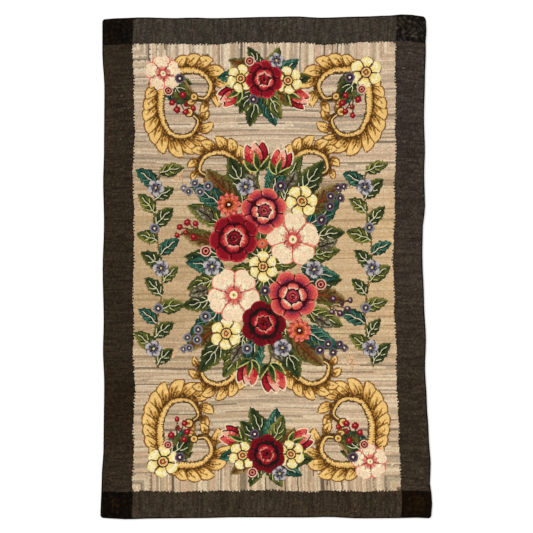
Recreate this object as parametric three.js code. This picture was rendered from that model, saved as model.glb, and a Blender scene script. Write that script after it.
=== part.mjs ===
// A hooked wool rug: one foundation cloth filled with low wool loops, and a whipped binding round its edge.
//
// The rug lies flat on the XY plane. X runs across its width, Y along its length and Z up.
// The origin is the middle of its underside, half way between its outermost points. Sizes are in millimetres.
import * as THREE from "three";

// The rug between its straight lines, over the binding.
const WIDTH = 985;
const LENGTH = 1524;

// Build-up of the hooked cloth.
const FOUNDATION = 1.5; // jute cloth with the backs of the loops
const PILE = 7; // wool loops above the cloth
const THICKNESS = FOUNDATION + PILE;

// Whipped binding: a cord against the cut edge, overcast with yarn.
const BINDING_WIDTH = 4.5;
const BINDING_HEIGHT = 7.4;
const SEWING_GAP = 0.3; // between the binding and the hooked cloth

// Its section, as shares of its width from the outer edge inwards and of its height: round, with a flat foot.
const BINDING_SECTION = [
  { inside: 0.22, height: 0 },
  { inside: 0.78, height: 0 },
  { inside: 1, height: 0.3 },
  { inside: 1, height: 0.7 },
  { inside: 0.78, height: 0.94 },
  { inside: 0.5, height: 1 },
  { inside: 0.22, height: 0.94 },
  { inside: 0, height: 0.6 },
  { inside: 0, height: 0.25 },
];

// Outer corners, rounded in plan.
const CORNER_RADIUS = 9;

// Rim of the cloth, where the last loops lean outwards: how far inside its edge, and how far the pile drops.
const RIM = [
  { inside: 0, drop: 1.6 },
  { inside: 3, drop: 0.5 },
  { inside: 8, drop: 0 },
];

// Spacing of the mesh lines over the rest of the cloth, and its levels up the edge.
const MESH_STEP = 31;
const EDGE_LEVELS = 2;

// How far each side strays outside (+) or inside (-) its straight line.
// "along" is the place on that side, measured from the middle of the rug.
const LEFT_SIDE = [
  { along: -762, out: 9 },
  { along: -640, out: 5 },
  { along: -545, out: -0.5 },
  { along: -348, out: -2.5 },
  { along: -250, out: 1.2 },
  { along: -165, out: -1 },
  { along: 0, out: 2 },
  { along: 140, out: -2 },
  { along: 265, out: 0.6 },
  { along: 360, out: -2 },
  { along: 550, out: -3.2 },
  { along: 660, out: 3 },
  { along: 762, out: 3 },
];
const RIGHT_SIDE = [
  { along: -762, out: 14 },
  { along: -712, out: 17 },
  { along: -640, out: 9 },
  { along: -612, out: 13 },
  { along: -500, out: 6 },
  { along: -410, out: 0.5 },
  { along: -300, out: -5 },
  { along: -225, out: -2 },
  { along: -100, out: -8 },
  { along: 40, out: -13 },
  { along: 130, out: -11.5 },
  { along: 175, out: -4.5 },
  { along: 285, out: -7.5 },
  { along: 355, out: -5 },
  { along: 450, out: -8 },
  { along: 580, out: -5 },
  { along: 650, out: -2.5 },
  { along: 700, out: -3 },
  { along: 732, out: 1 },
  { along: 762, out: -4 },
];
const TOP_SIDE = [
  { along: -492, out: -5 },
  { along: -440, out: -2 },
  { along: -370, out: 0.5 },
  { along: -270, out: -2 },
  { along: -215, out: 0 },
  { along: -160, out: -2 },
  { along: 20, out: 2 },
  { along: 100, out: 3.5 },
  { along: 170, out: -0.5 },
  { along: 300, out: 3 },
  { along: 380, out: 6 },
  { along: 430, out: 10 },
  { along: 492, out: 3.5 },
];
const BOTTOM_SIDE = [
  { along: -492, out: 0 },
  { along: -415, out: 4 },
  { along: -330, out: 1.5 },
  { along: -200, out: 0.5 },
  { along: -90, out: -2 },
  { along: 120, out: -1.5 },
  { along: 185, out: -3 },
  { along: 275, out: 1.2 },
  { along: 400, out: 0.5 },
  { along: 440, out: -1 },
  { along: 492, out: 1 },
];

// Unevenness of the pile: long low swells, each a number of waves across and along.
const SWELLS = [
  { across: 1.5, along: 2.5, start: 0.4, height: 0.35 },
  { across: 3.5, along: 1.0, start: 1.9, height: 0.25 },
  { across: 2.0, along: 6.5, start: 4.1, height: 0.2 },
  { across: 5.0, along: 4.0, start: 2.6, height: 0.15 },
];

const wool = new THREE.MeshStandardMaterial({ color: 0x7a6a55, roughness: 0.95, metalness: 0 });
const yarn = new THREE.MeshStandardMaterial({ color: 0x1b1713, roughness: 0.9, metalness: 0 });

// The value of a side's table at a place along it, eased from row to row.
function strayAt(side, along) {
  const next = side.findIndex((row) => row.along >= along);
  if (next === -1) return side[side.length - 1].out;
  if (next === 0) return side[0].out;
  const [before, after] = [side[next - 1], side[next]];
  const share = THREE.MathUtils.smoothstep(along, before.along, after.along);
  return THREE.MathUtils.lerp(before.out, after.out, share);
}

// Rounds a corner of the straight rectangle: the square beside the corner is drawn in to a quarter disc.
function roundCorner(x, y, inset) {
  const radius = Math.max(CORNER_RADIUS - inset, 0);
  const past = {
    x: Math.abs(x) - (WIDTH / 2 - inset - radius),
    y: Math.abs(y) - (LENGTH / 2 - inset - radius),
  };
  if (past.x <= 0 || past.y <= 0) return [x, y];
  const kept = Math.max(past.x, past.y) / Math.hypot(past.x, past.y);
  return [x - Math.sign(x) * past.x * (1 - kept), y - Math.sign(y) * past.y * (1 - kept)];
}

// A point of the straight rectangle, moved by what the four sides stray, each fading towards the opposite side.
// "inset" is how far inside the outer edge the outline being made lies.
function inPlan(straightX, straightY, inset) {
  const [x, y] = roundCorner(straightX, straightY, inset);
  const right = x / WIDTH + 0.5;
  const top = y / LENGTH + 0.5;
  const moveX = strayAt(RIGHT_SIDE, y) * right - strayAt(LEFT_SIDE, y) * (1 - right);
  const moveY = strayAt(TOP_SIDE, x) * top - strayAt(BOTTOM_SIDE, x) * (1 - top);
  return [x + moveX, y + moveY];
}

// Mesh lines between the two edges of the cloth: the rim's at both ends, and even steps between them.
function meshLines(half) {
  const rim = RIM.map((row) => half - row.inside);
  const inner = rim.pop();
  const steps = Math.round((2 * inner) / MESH_STEP);
  const even = Array.from({ length: steps + 1 }, (_, i) => -inner + (2 * inner * i) / steps);
  return [...rim.map((x) => -x), ...even, ...rim.toReversed()];
}

const CLOTH_INSET = BINDING_WIDTH + SEWING_GAP;
const COLUMNS = meshLines(WIDTH / 2 - CLOTH_INSET);
const ROWS = meshLines(LENGTH / 2 - CLOTH_INSET);

// Height of the crowns of the loops at a place of the mesh.
function pileTop(column, row, x, y) {
  const fromEdge = Math.min(column, COLUMNS.length - 1 - column, row, ROWS.length - 1 - row);
  const drop = fromEdge < RIM.length ? RIM[fromEdge].drop : 0;
  const swells = SWELLS.map((swell) => {
    const turns = (swell.across * x) / WIDTH + (swell.along * y) / LENGTH;
    return swell.height * Math.sin(2 * Math.PI * turns + swell.start);
  });
  return swells.reduce((height, swell) => height + swell, THICKNESS - drop);
}

// The hooked cloth: a box with a cell between each two mesh lines, its points moved to their real places.
function hookedCloth() {
  const [cellsX, cellsY] = [COLUMNS.length - 1, ROWS.length - 1];
  const geometry = new THREE.BoxGeometry(cellsX, cellsY, EDGE_LEVELS, cellsX, cellsY, EDGE_LEVELS);
  const place = geometry.getAttribute("position");
  for (let i = 0; i < place.count; i++) {
    const column = Math.round(place.getX(i) + cellsX / 2);
    const row = Math.round(place.getY(i) + cellsY / 2);
    const level = Math.round(place.getZ(i) + EDGE_LEVELS / 2);
    const [x, y] = inPlan(COLUMNS[column], ROWS[row], CLOTH_INSET);
    place.setXYZ(i, x, y, (pileTop(column, row, x, y) * level) / EDGE_LEVELS);
  }
  geometry.computeVertexNormals();
  const mesh = new THREE.Mesh(geometry, wool);
  mesh.name = "hooked_cloth";
  return mesh;
}

// The rug's outline at an inset, anticlockwise, with a point at each corner and at every mesh line.
function outline(inset) {
  const [halfX, halfY] = [WIDTH / 2 - inset, LENGTH / 2 - inset];
  const [across, along] = [COLUMNS.slice(1, -1), ROWS.slice(1, -1)];
  return [
    [-halfX, -halfY],
    ...across.map((x) => [x, -halfY]),
    [halfX, -halfY],
    ...along.map((y) => [halfX, y]),
    [halfX, halfY],
    ...across.toReversed().map((x) => [x, halfY]),
    [-halfX, halfY],
    ...along.toReversed().map((y) => [-halfX, y]),
  ].map(([x, y]) => inPlan(x, y, inset));
}

// The whipped binding: its section carried round the outline.
function whippedBinding() {
  const strands = BINDING_SECTION.map((point) => {
    const height = point.height * BINDING_HEIGHT;
    return outline(point.inside * BINDING_WIDTH).map(([x, y]) => [x, y, height]);
  });
  const [sides, length] = [strands.length, strands[0].length];
  const faces = [];
  for (let side = 0; side < sides; side++) {
    for (let i = 0; i < length; i++) {
      const [near, far] = [side * length, ((side + 1) % sides) * length];
      const next = (i + 1) % length;
      faces.push(near + i, far + i, near + next, near + next, far + i, far + next);
    }
  }
  const geometry = new THREE.BufferGeometry();
  geometry.setAttribute("position", new THREE.Float32BufferAttribute(strands.flat(2), 3));
  geometry.setIndex(faces);
  geometry.computeVertexNormals();
  const mesh = new THREE.Mesh(geometry, yarn);
  mesh.name = "whipped_binding";
  return mesh;
}

const rug = new THREE.Group();
rug.add(hookedCloth(), whippedBinding());

// The sides stray by different amounts, so the rug is moved to bring the middle of its box to the origin.
const middle = new THREE.Box3().setFromObject(rug).getCenter(new THREE.Vector3());
rug.position.set(-middle.x, -middle.y, 0);

export default rug;
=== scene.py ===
"""A hooked wool rug with a floral field and a whipped edge, lying flat on a pale floor.

The pile is made loop by loop. A loop of wool is a small pillow of eight points, and the
loops stand in rows, as a maker hooks them: square to the edges in the dark border, along and
across the striped ground, and round the outlines of the leaves, flowers and scrolls.

The design is drawn in millimetres on the rug's straight rectangle, x across it and y towards its
top end. spread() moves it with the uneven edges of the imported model. Meshes are in metres.
"""

from collections import namedtuple

import bpy
import numpy as np
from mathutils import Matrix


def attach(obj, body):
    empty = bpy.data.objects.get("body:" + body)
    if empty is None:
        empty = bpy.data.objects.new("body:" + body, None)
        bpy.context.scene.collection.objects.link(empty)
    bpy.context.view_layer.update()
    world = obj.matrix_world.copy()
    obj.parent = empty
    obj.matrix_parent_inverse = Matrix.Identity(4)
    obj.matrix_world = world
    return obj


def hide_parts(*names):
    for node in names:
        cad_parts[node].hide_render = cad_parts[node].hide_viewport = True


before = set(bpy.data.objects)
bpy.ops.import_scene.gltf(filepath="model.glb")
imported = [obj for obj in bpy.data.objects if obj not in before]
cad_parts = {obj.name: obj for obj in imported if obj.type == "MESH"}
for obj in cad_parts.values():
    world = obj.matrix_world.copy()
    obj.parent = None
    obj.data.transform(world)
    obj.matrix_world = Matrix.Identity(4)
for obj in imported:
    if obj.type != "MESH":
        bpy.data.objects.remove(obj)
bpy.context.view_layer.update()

MM = 0.001
random = np.random.default_rng(27)

# ---------------------------------------------------------------- sizes, in millimetres

WIDTH = 985.0
LENGTH = 1524.0
BINDING_WIDTH = 4.5
BINDING_HEIGHT = 7.4
WRAP = 3.3  # from wrap to wrap of the whipping yarn
CLOTH_INSET = 3.9  # from the outer edge to the hooked cloth
CLOTH_CELL = 12.0  # of the foundation's grid

CLOTH_TOP = 2.5  # foundation cloth with the feet of the loops
LOOP_SINK = 0.6  # how far a loop's foot reaches down into the cloth
PILE_TOP = 8.5  # crowns of the loops
RIM_DROP = 1.6  # how far the last loops lean down over the binding
RIM_REACH = 8.0  # how far in from the hooked cloth's edge that lean begins

ROW = 4.7  # from row to row in the border
STEP = 3.9  # from loop to loop along such a row
GROUND_ROW = 3.9  # the same in the striped ground
GROUND_STEP = 4.7
FINE_ROW = 3.6  # the same in leaves, flowers and scrolls
FINE_STEP = 3.6
THIN = 2.7  # a single thin row, for veins and hatching

FIELD = {"left": -399.0, "right": 401.5, "bottom": -679.3, "top": 681.0}
RIM_GAP = 0.5  # between the last loops and the hooked cloth's edge
RIM = {"across": WIDTH / 2 - CLOTH_INSET - RIM_GAP, "along": LENGTH / 2 - CLOTH_INSET - RIM_GAP}
END_BAND = 80.0  # how far the ground's upright rows reach in from its two ends
BAND_SPARE = 1.6  # how deep the upright rows are made, against that, before upright_here() cuts them
BAND_WAVES = [(9.0, 17.0), (7.0, 5.3)]  # waves in that depth: how high, and how far along for a radian
CORNER_RINGS = 10  # rings of one tone each in a corner square
STRIP_ROWS = 1.5  # rows in one strip where the ground turns a corner
WAVER = 1.5  # how far the midrib of a leaf strays to either side of its line
TOOTH = 1.7  # how far every second row of the border reaches past the others

# Over these lengths something fades out towards an edge or an end.
DRIFT_FADE = 60.0
TEETH_FADE = 25.0
SHIFT_FADE = 30.0

# What a hand leaves uneven, as normal spreads: places in millimetres, turns in radians, and the rest
# as the logarithm of a factor, but for the wrap's, which is added to a factor.
ROW_STRAY = 0.2
ROW_TURN = 0.08
MOTIF_TURN = 0.12
SIZE_SPREAD = 0.05
TONE_SPREAD = 0.07
BORDER_FLECKS = 0.2
BORDER_TINGE = 0.05
CROWN_STRAY = 0.22
POINT_STRAY = (0.16, 0.16, 0.2)
WRAP_STRAY = 0.012

# A loop's length and breadth against its step and its row, so that neighbours touch.
ROW_PLUMPNESS = (1.28, 1.16)
MOTIF_PLUMPNESS = (1.3, 1.22)
SPILL = 0.9  # how much wider than a narrow patch its loop may be

# Long low swells of the pile: the number of waves across and along, their start and their height.
Swell = namedtuple("Swell", "across along start height")
SWELLS = [
    Swell(1.5, 2.5, 0.4, 0.35), Swell(3.5, 1.0, 1.9, 0.25),
    Swell(2.0, 6.5, 4.1, 0.20), Swell(5.0, 4.0, 2.6, 0.15),
]

# ---------------------------------------------------------------- wools, as screen colours

WOOL = {
    "soot": (47, 38, 29), "ash": (78, 67, 56), "black": (22, 15, 9),
    "jute": (150, 122, 84), "lint": (206, 198, 182),
    # the ground
    "cream": (240, 221, 190), "oat": (225, 201, 169), "sand": (211, 184, 151), "rosy": (222, 188, 158),
    "pebble": (188, 172, 147), "fawn": (195, 168, 135), "stone": (179, 156, 131), "dun": (148, 127, 103),
    "umber": (106, 88, 70), "tan": (208, 178, 136), "peach": (230, 190, 146),
    # reds and pinks
    "garnet": (66, 10, 18), "wine": (116, 10, 22), "crimson": (148, 18, 34), "scarlet": (186, 40, 50),
    "carmine": (206, 64, 72), "coral": (224, 98, 86), "salmon": (238, 138, 116),
    "rosewood": (160, 56, 76), "blush": (246, 190, 164), "shell": (250, 226, 192),
    # golds and oranges
    "brown": (92, 60, 24), "toffee": (146, 96, 36), "ochre": (190, 138, 58), "gold": (230, 182, 100),
    "straw": (246, 208, 132), "lemon": (250, 232, 152), "ivory": (252, 242, 204),
    "orange": (222, 116, 56), "rust": (168, 66, 36),
    # greens
    "ink": (22, 22, 18), "bottle": (36, 45, 25), "forest": (60, 73, 34), "olive": (106, 106, 46),
    "moss": (138, 134, 68), "sage": (150, 152, 118), "spruce": (28, 62, 50), "teal": (48, 98, 80),
    "sea": (112, 150, 126), "bronze": (124, 96, 48), "khaki": (166, 138, 88), "pear": (206, 206, 124),
    "pith": (226, 222, 178),
    # blues
    "navy": (46, 40, 56), "slate": (102, 99, 108), "lavender": (152, 147, 156), "lilac": (202, 193, 190),
    "plum": (90, 46, 68),
}

# The ground's wools, and the share of the strips hooked with each.
GROUND = {
    "cream": 0.17, "oat": 0.22, "rosy": 0.10, "sand": 0.18, "fawn": 0.10,
    "pebble": 0.07, "stone": 0.07, "dun": 0.06, "umber": 0.03,
}
STRIP_STRENGTH = 0.3  # how much of a strip's own colour shows in the middle of the ground
MIDDLE_HALF = 120.0  # how far up and down from the rug's middle the ground is at its plainest
MIDDLE_FADE = 260.0  # and how much farther on the strips are at their strongest
# How light the ground is over the rug, as shares of its light: the way to the right and the way up add
# a little and both ends take some. YELLOWING is what the way up adds to red, green and blue, and the
# way down takes.
GROUND_LIGHTNESS = {"right": 0.08, "up": 0.03, "ends": 0.06}
YELLOWING = (0, 0.015, 0.06)

# How much light each side of the border gives back, against the right one: partly its wool's own dye,
# and partly painted light and shade of uneven lighting.
BORDER_TINTS = {
    "left": (0.72, 0.66, 0.55), "right": (1.0, 1.0, 1.0),
    "top": (1.12, 1.24, 1.28), "bottom": (1.0, 0.96, 0.84),
}

# Stretches of the border where the dye took differently: their middle and reach along that side.
DyePatch = namedtuple("DyePatch", "side along reach tint")
DYE_PATCHES = [
    DyePatch("left", 470, 170, (1.14, 1.16, 1.22)), DyePatch("left", -420, 120, (0.70, 0.62, 0.45)),
    DyePatch("left", -610, 60, (1.12, 1.12, 1.12)), DyePatch("right", 500, 240, (1.00, 1.04, 1.14)),
    DyePatch("right", -480, 240, (0.80, 0.76, 0.66)), DyePatch("bottom", 250, 130, (0.88, 0.86, 0.80)),
]
BORDER_STRIPS = (14, 60)  # the shortest and the longest strip of wool in the border
STRIP_PART = 0.65  # of a loop's tone that is its strip's, and the rest is its own
FIELD_SHADE = 0.55  # how light the border is beside the field, in the shadow of the pile
SHADE_RISE = 0.12  # and how much lighter each millimetre outwards
LINT_SHARE = 0.0005  # of the border's loops that have caught a pale fibre
LINT_TONE = 0.22  # how much of the fibre's own light they give back

# How each corner square took its dye, by side (-1 left, 1 right) and end (-1 bottom, 1 top): the tints
# of its middle and of its outer rows, and how far it mottles.
CornerDye = namedtuple("CornerDye", "middle rim mottle")
CORNER_DYES = {
    (-1, 1): CornerDye((0.90, 0.87, 0.75), (1.15, 1.20, 0.95), 0.50),
    (1, 1): CornerDye((5.20, 6.60, 8.20), (2.00, 2.60, 3.40), 0.70),
    (-1, -1): CornerDye((1.15, 0.92, 0.44), (0.84, 0.72, 0.36), 0.60),
    (1, -1): CornerDye((1.42, 1.18, 0.38), (0.82, 0.62, 0.28), 0.30),
}
RING_TONES = (-0.1, 0.35)  # the mean and the spread of the logarithm of a ring's tone
TINT_STARTS = 0.5  # the share of the way out where the middle's tint begins to give way
TINT_TAKES = 0.25  # and the share over which it does
WAVE_PART = 1.8  # how much of the mottling is a wave over the rug
LOOP_PART = 0.45  # and how much differs from loop to loop

# Leaves: wools from the dark half to the light half, the midrib, the side veins, the line beside each
# of them, and the outer rows of the dark half and of the light half.
LEAVES = {
    "bottle": {
        "wools": ["bottle", "forest", "bottle", "forest", "olive"],
        "rib": "pith", "vein": "pith", "shade": "ink", "outline": "forest", "edge": "olive",
    },
    "teal": {
        "wools": ["spruce", "teal", "spruce", "teal", "sea"],
        "rib": "cream", "vein": "sea", "shade": "ink", "outline": "spruce", "edge": "teal",
    },
    "olive": {
        "wools": ["forest", "olive", "forest", "olive", "moss"],
        "rib": "pith", "vein": "pear", "shade": "ink", "outline": "forest", "edge": "moss",
    },
    "bronze": {
        "wools": ["forest", "bronze", "brown", "bronze", "khaki"],
        "rib": "rust", "vein": "brown", "shade": "brown", "outline": "olive", "edge": "khaki",
    },
    "sage": {
        "wools": ["olive", "sage", "umber", "sage", "pebble"],
        "rib": "ink", "vein": "umber", "shade": "umber", "outline": "umber", "edge": "umber",
    },
}

# Roses: wools of the outer petals from their feet out, and of their rims, of the inner ones from their
# lips out, of the lines between the petals, and of the heart from its rim to its middle.
ROSES = {
    "wine_rose": {
        "outer": ["ink", "garnet", "wine", "wine", "wine"], "rim": "crimson", "line": "ink",
        "inner": ["salmon", "scarlet", "crimson", "wine"], "heart": ["crimson", "garnet", "garnet"],
    },
    "crimson_rose": {
        "outer": ["garnet", "crimson", "crimson", "crimson", "scarlet"], "rim": "carmine", "line": "garnet",
        "inner": ["blush", "coral", "scarlet", "crimson"], "heart": ["crimson", "garnet", "crimson"],
    },
    "coral_rose": {
        "outer": ["plum", "rosewood", "carmine", "coral", "coral"], "rim": "salmon", "line": "garnet",
        "inner": ["shell", "salmon", "coral", "rosewood"], "heart": ["rosewood", "crimson", "rosewood"],
    },
}

# Small round flowers: wools from the dot outwards.
BUTTONS = {
    "violet": ["ivory", "navy", "plum", "slate"], "blue": ["shell", "navy", "slate", "lavender"],
    "pink": ["garnet", "salmon", "garnet", "blush"], "rust": ["slate", "salmon", "orange", "coral"],
}

# ---------------------------------------------------------------- layout, in millimetres

# The middle bouquet's leaves: foot, direction in degrees, length and kind. Each comes twice, the second
# time with half a turn about the rug's middle.
Spray = namedtuple("Spray", "x y towards length kind")
SPRAYS = [
    Spray(60, -176, -76, 92, "olive"), Spray(34, -212, -66, 148, "bottle"),
    Spray(70, -196, -50, 152, "bronze"), Spray(112, -176, -36, 134, "teal"),
    Spray(128, -128, -26, 124, "olive"), Spray(140, -84, -6, 116, "bronze"),
    Spray(124, -40, 8, 118, "bottle"), Spray(118, 4, -8, 122, "teal"),
    Spray(128, 34, 14, 112, "olive"), Spray(140, 84, 10, 116, "bottle"),
    Spray(128, 120, 34, 136, "teal"), Spray(120, 172, 30, 140, "bronze"),
    Spray(104, 204, 52, 146, "bottle"), Spray(62, 214, 66, 138, "olive"),
    Spray(26, 206, 86, 138, "teal"), Spray(50, 184, 78, 84, "bottle"),
]

# The middle bouquet's flowers, from the back to the front.
Bloom = namedtuple("Bloom", "kind x y radius turn")
BLOOMS = [
    Bloom("daisy", 116, 200, 48, 0.1), Bloom("daisy", -116, -200, 48, 0.4),
    Bloom("blossom", 90, 84, 80, 0.3), Bloom("blossom", -90, -84, 80, 0.9),
    Bloom("coral_rose", 0, 170, 70, 0.3), Bloom("wine_rose", 0, -172, 70, 0.0),
    Bloom("crimson_rose", -90, 88, 77, 0.5), Bloom("coral_rose", 90, -88, 77, 1.1),
    Bloom("marigold", -108, 192, 36, 0.0), Bloom("marigold", 108, -192, 36, 0.3),
    Bloom("aster", -56, 244, 27, 0.5), Bloom("aster", 56, -246, 27, 0.0),
    Bloom("aster", 156, -4, 27, 0.9), Bloom("aster", -156, 4, 27, 0.2),
    Bloom("violet", 178, 146, 16, 0.0), Bloom("blue", -178, -146, 16, 0.0),
    Bloom("pink", -176, 52, 17, 0.0), Bloom("pink", 176, -50, 17, 0.0),
    Bloom("violet", 52, 246, 16, 0.0), Bloom("blue", -52, -248, 16, 0.0),
    Bloom("rust", -4, 70, 15, 0.0), Bloom("violet", 6, -72, 15, 0.0),
    Bloom("daisy", 0, 0, 45, 0.5),
]

# Bunches of berries: foot, direction in degrees, and the wools of the glint and of the berry. A bunch's
# own berries: how far from its foot, and how far aside in radians. Chains of small round flowers:
# foot, direction in degrees and the flower.
BERRY_PLACES = [(34, 0.6), (40, -0.55), (58, 0.24), (62, -0.3), (78, 0.02), (84, 0.34)]
Bunch = namedtuple("Bunch", "x y towards wools")
BERRIES = [
    Bunch(-182, 106, 164, ["coral", "crimson"]),
    Bunch(182, -106, -16, ["lilac", "plum"]),
]
Chain = namedtuple("Chain", "x y towards flower")
CHAINS = [
    Chain(168, 186, 14, "violet"), Chain(-168, -186, 194, "blue"),
    Chain(-146, 226, 146, "blue"), Chain(146, -226, -34, "violet"),
]

# Long buds on stems: foot, direction in degrees and length.
Bud = namedtuple("Bud", "x y towards length")
BUDS = [
    Bud(-12, 236, 101, 152), Bud(22, 236, 74, 132),
    Bud(12, -238, -79, 152), Bud(-22, -238, -106, 132),
]

# Gold leaf scrolls: the line of the midrib. Those of a corner are measured inwards from the corner of
# the field, and the bouquet's from its middle, for its upper right quarter.
SIDE_SCROLL = [(94, 98), (82, 150), (82, 216), (112, 272), (168, 276), (194, 234), (166, 208)]
END_SCROLL = [(98, 94), (146, 80), (200, 84), (234, 120), (218, 162), (182, 160)]
BOUQUET_SCROLL = [(52, 236), (80, 312), (128, 352), (180, 342), (196, 300), (168, 280)]
LOBE_GAP = 25.0  # from lobe to lobe along the band
HATCH_GAP = 8.0  # from one short dark mark to the next
BAND_REACH = {"share": [0, 0.1, 1], "reach": [9, 14, 5]}  # of a scroll's band, from foot to curl

POSY_OUT = 570.0  # from the rug's middle to the middle of a posy
GARLAND_OUT = 322.0  # from the rug's middle line to a garland's stem
GARLAND_HALF = 304.0  # how far a garland reaches up and down
GARLAND_SWAY = 14.0  # how far its stem sways to either side

# Faded leaves among the bouquet's own, each twice as well: foot and direction in degrees.
FADED_LEAVES = [(170, 64, 20), (-20, 236, 128), (-158, 150, 150), (70, 240, 60)]

# Leaves behind a corner's flower: direction in degrees from the end towards the side, length and kind.
CORNER_LEAVES = [
    (20, 96, "bottle"), (70, 96, "olive"), (33, 112, "bronze"), (57, 116, "teal"), (45, 126, "bottle"),
]

# A posy's leaves: direction in degrees, length and kind.
POSY_LEAVES = [
    (4, 132, "bottle"), (176, 132, "teal"), (30, 112, "teal"), (150, 112, "bronze"), (-42, 108, "bronze"),
    (222, 108, "olive"), (64, 98, "olive"), (116, 98, "bottle"), (252, 138, "bottle"), (284, 134, "teal"),
    (-66, 120, "olive"), (232, 116, "bottle"),
]

# Faint sprigs that show through the ground: foot and direction in degrees. GHOST_LEAVES gives a
# sprig's own: their share of the way up its stem, and how far aside they point, in radians. The first
# is the stem itself. The last three are the lengths of a stem and of a leaf, and the breadth of both.
GHOSTS = [(-246, 262, 120), (250, -262, -60), (-262, -250, 200), (262, 240, 30)]
GHOST_LEAVES = [(0.0, 0.0), (0.3, 0.9), (0.45, -0.9), (0.65, 0.8), (0.8, -0.8)]
GHOST_STEM = 46
GHOST_LEAF = 22
GHOST_BREADTH = 9

# ---------------------------------------------------------------- the uneven edges

SAME_HEIGHT = 0.01  # two heights that differ by less are one
SPREAD_ROUNDS = 3  # a moved place is read from the edges again, this many times


def outer_edge():
    """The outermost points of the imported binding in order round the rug, in millimetres.

    They lie at a quarter of its height. Their order is that of their bearings from the rug's middle,
    with its length drawn in to its width.
    """
    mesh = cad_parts["whipped_binding"].data
    points = np.empty(3 * len(mesh.vertices))
    mesh.vertices.foreach_get("co", points)
    points = points.reshape(-1, 3) / MM
    outermost = np.abs(points[:, 2] - BINDING_HEIGHT / 4) < SAME_HEIGHT
    places = np.unique(np.round(points[outermost, :2], 3), axis=0)
    return places[np.argsort(np.arctan2(places[:, 1] * WIDTH / LENGTH, places[:, 0]))]


def side_tables(edge):
    """Each side as a table: places along it, in rising order, and how far out the rug reaches there."""
    x, y = edge.T
    upright = np.abs(x) * LENGTH > np.abs(y) * WIDTH
    chosen = {
        "left": (upright & (x < 0), y, x), "right": (upright & (x > 0), y, x),
        "bottom": (~upright & (y < 0), x, y), "top": (~upright & (y > 0), x, y),
    }
    tables = {}
    for side, (mine, along, reach) in chosen.items():
        order = np.argsort(along[mine])
        tables[side] = (along[mine][order], reach[mine][order])
    return tables


EDGE = outer_edge()
SIDES = side_tables(EDGE)


def spread(place):
    """Moves places of the straight rectangle with the uneven edges.

    x = left(y) + (right(y) - left(y)) * (x / width + 1/2), and y in the same way between bottom(x)
    and top(x), where left, right, bottom and top are the sides' tables, read at the moved place.
    """
    share = place / (WIDTH, LENGTH) + 0.5
    moved = place
    for _ in range(SPREAD_ROUNDS):
        left, right = (np.interp(moved[:, 1], *SIDES[side]) for side in ("left", "right"))
        bottom, top = (np.interp(moved[:, 0], *SIDES[side]) for side in ("bottom", "top"))
        low, high = np.stack([left, bottom], axis=1), np.stack([right, top], axis=1)
        moved = low + (high - low) * share
    return moved


def to_edge(place):
    """How far inside the straight rectangle a place lies: the smaller of its distances to the sides."""
    return np.minimum(WIDTH / 2 - np.abs(place[:, 0]), LENGTH / 2 - np.abs(place[:, 1]))


def drift(place):
    """Hand-worked rows drift: two long, low sine waves each way, which fade out at the rug's edges."""
    x, y = place.T
    fade = np.clip(to_edge(place) / DRIFT_FADE, 0, 1)
    across = 1.3 * np.sin(y / 61 + 0.8) + 0.9 * np.sin(x / 83 + y / 140)
    along = 1.3 * np.sin(x / 57 + 2.0) + 0.9 * np.sin(y / 97 - x / 120)
    return place + (fade * np.stack([across, along])).T


def swell(place):
    """The height of the long swells: a sum of sine waves across and along."""
    turns = [w.across * place[:, 0] / WIDTH + w.along * place[:, 1] / LENGTH for w in SWELLS]
    return sum(w.height * np.sin(2 * np.pi * turn + w.start) for w, turn in zip(SWELLS, turns))


# ---------------------------------------------------------------- loops in straight rows

Loops = namedtuple("Loops", "place heading along across wool")


def linear(names):
    """Linear light of the named wools: the screen colour's curve undone, ((c + 0.055) / 1.055) ^ 2.4."""
    screen = np.array([WOOL[name] for name in names]) / 255
    return np.where(screen <= 0.04045, screen / 12.92, ((screen + 0.055) / 1.055) ** 2.4)


def join(batches):
    """Several batches of loops as one."""
    return Loops(*(np.concatenate(column) for column in zip(*batches)))


def keep(loops, chosen):
    """The chosen loops of a batch."""
    return Loops(*(column[chosen] for column in loops))


def straight_rows(low, high, pitch, step, start, end):
    """Places in straight rows: (row number, place across the rows, place along the row).

    Rows lie about pitch apart from low to high. start and end give where a row at a place across
    begins and ends, and its loops lie about step apart between them. Each row is shifted by its own
    share of a step, and that shift fades out near the row's two ends.
    """
    rows = round((high - low) / pitch)
    centre = low + (high - low) * (np.arange(rows) + 0.5) / rows
    first, last = start(centre) + 0 * centre, end(centre) + 0 * centre
    steps = np.maximum(np.round((last - first) / step), 1).astype(int)
    row = np.repeat(np.arange(rows), steps)
    number = np.arange(len(row)) - np.repeat(np.cumsum(steps) - steps, steps)
    along = first[row] + (last - first)[row] * (number + 0.5) / steps[row]
    shift = random.uniform(-0.5, 0.5, rows)[row]
    from_ends = np.minimum(along - first[row], last[row] - along)
    fade = np.clip((from_ends - step) / SHIFT_FADE, 0, 1)
    return row, centre[row] + random.normal(0, ROW_STRAY, len(row)), along + shift * step * fade


def strips(row, along, shortest, longest, alike=0.0):
    """One number from 0 to 1 for each strip of wool: a row is worked in strips of its own length.

    alike is the share of the rows that go on with the strips of the row before.
    """
    rows = row.max() + 1
    band = np.cumsum(random.random(rows) >= alike)[row]
    length = random.uniform(shortest, longest, rows + 1)[band]
    strip = np.floor(along / length + random.uniform(0, 1, rows + 1)[band]).astype(int)
    strip -= strip.min()
    return random.random((rows + 1, strip.max() + 1))[band, strip]


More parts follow.
